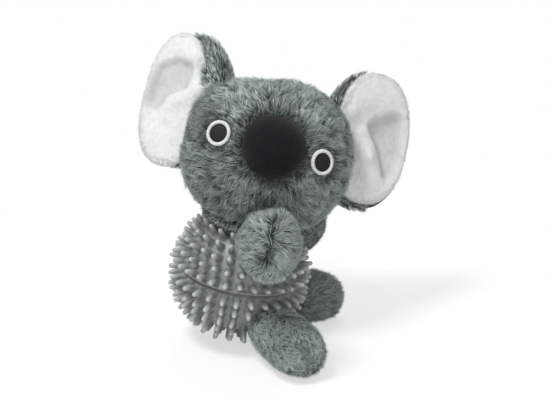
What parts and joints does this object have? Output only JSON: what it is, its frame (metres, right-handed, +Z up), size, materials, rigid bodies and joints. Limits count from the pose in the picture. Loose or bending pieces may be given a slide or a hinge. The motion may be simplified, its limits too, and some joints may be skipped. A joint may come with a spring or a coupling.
{
  "type": "plush koala pet toy",
  "caption": "Plush koala pet toy whose body is a hollow spiky rubber ball with a squeaker, sitting with its head turned and stuffed arms, legs and ears.",
  "frame": {"origin": "on the floor under the middle of the sitting toy", "axes": "+Z up; -Y is where the picture was taken from; +X is the viewer's right and the side of the toy's own left ear"},
  "size_m": [0.1344, 0.1184, 0.1509],
  "materials": {
    "rubber": "satin",
    "plush": "matte",
    "fleece": "matte",
    "velour": "matte",
    "white_thread": "satin",
    "black_thread": "satin",
    "fill": "matte",
    "plastic": "satin"
  },
  "bodies": {
    "ball": {"ball_upper_half": "rubber", "ball_lower_half": "rubber", "squeaker_case": "plastic", "squeaker_reed": "plastic"},
    "neck": {"neck_yoke": "plush", "neck_washer": "plastic"},
    "head": {"head_skin": "plush", "head_stuffing": "fill", "nose_cover": "velour", "nose_stuffing": "fill", "right_eye_ring": "white_thread", "right_eye_pupil": "black_thread", "left_eye_ring": "white_thread", "left_eye_pupil": "black_thread"},
    "right_ear": {"right_ear_back": "plush", "right_ear_front": "fleece"},
    "left_ear": {"left_ear_back": "plush", "left_ear_front": "fleece"},
    "right_arm": {"right_arm_skin": "plush", "right_arm_stuffing": "fill"},
    "left_arm": {"left_arm_skin": "plush", "left_arm_stuffing": "fill"},
    "right_leg": {"right_leg_skin": "plush", "right_leg_stuffing": "fill", "right_leg_washer": "plastic"},
    "left_leg": {"left_leg_skin": "plush", "left_leg_stuffing": "fill", "left_leg_washer": "plastic"}
  },
  "joints": [
    {"name": "neck_tilt", "type": "hinge", "parent": "ball", "child": "neck", "pos_m": [-0.0174, 0.00511, 0.0355], "axis": [0.9848, 0, -0.1736], "range_deg": [-6, 6]},
    {"name": "head_turn", "type": "hinge", "parent": "neck", "child": "head", "pos_m": [-0.0174, 0.00511, 0.0355], "axis": [0.1736, 0, 0.9848], "range_deg": [-25, 60]},
    {"name": "right_ear_fold", "type": "hinge", "parent": "head", "child": "right_ear", "pos_m": [-0.0254, 0.01205, 0.11701], "axis": [0.2499, 0.3008, 0.9204], "range_deg": [-12, 12], "stiffness_Nm_per_rad": 0.02},
    {"name": "left_ear_fold", "type": "hinge", "parent": "head", "child": "left_ear", "pos_m": [0.0248, 0.01517, 0.10378], "axis": [0.1447, 0.2913, 0.9456], "range_deg": [-12, 12], "stiffness_Nm_per_rad": 0.02},
    {"name": "right_arm_swing", "type": "hinge", "parent": "neck", "child": "right_arm", "pos_m": [-0.00809, -0.01843, 0.06439], "axis": [0.1736, 0, 0.9848], "range_deg": [-10, 10], "stiffness_Nm_per_rad": 0.02},
    {"name": "left_arm_swing", "type": "hinge", "parent": "neck", "child": "left_arm", "pos_m": [0.00166, 0.02445, 0.06267], "axis": [0.1736, 0, 0.9848], "range_deg": [-10, 10], "stiffness_Nm_per_rad": 0.02},
    {"name": "right_leg_swing", "type": "hinge", "parent": "ball", "child": "right_leg", "pos_m": [-0.00566, -0.01296, 0.0161], "axis": [0, 0, 1], "range_deg": [-12, 12], "stiffness_Nm_per_rad": 0.03},
    {"name": "left_leg_swing", "type": "hinge", "parent": "ball", "child": "left_leg", "pos_m": [0.00127, 0.01589, 0.0161], "axis": [0, 0, 1], "range_deg": [-12, 12], "stiffness_Nm_per_rad": 0.03}
  ]
}
